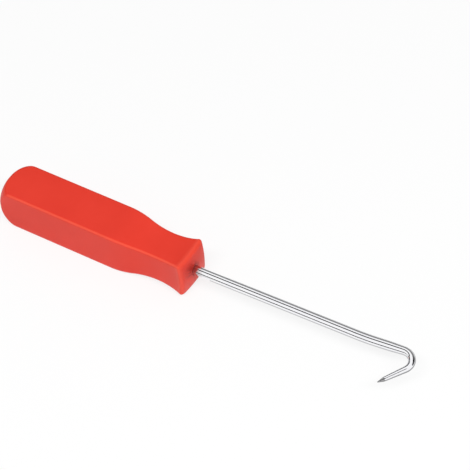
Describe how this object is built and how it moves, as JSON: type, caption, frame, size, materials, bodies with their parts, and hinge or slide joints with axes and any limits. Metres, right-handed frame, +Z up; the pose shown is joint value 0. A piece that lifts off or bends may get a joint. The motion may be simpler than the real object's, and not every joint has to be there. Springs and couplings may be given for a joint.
{
  "type": "hooked o-ring pick",
  "caption": "Hooked pick for lifting O-rings and seals: a bent, tapered and pointed steel shank moulded into a square handle with a domed butt and a pinched waist.",
  "frame": {"origin": "middle of the flat underside of the grip, on which the pick lies", "axes": "+X along the handle from the butt to the hook, +Z up from the underside, the hook turns level towards -Y"},
  "size_m": [0.1642, 0.0212, 0.0167],
  "materials": {
    "handle_plastic": "satin moulded red plastic",
    "shank_steel": "bright plated steel"
  },
  "bodies": {
    "root": {"handle": "handle_plastic", "shank": "shank_steel"}
  },
  "joints": []
}
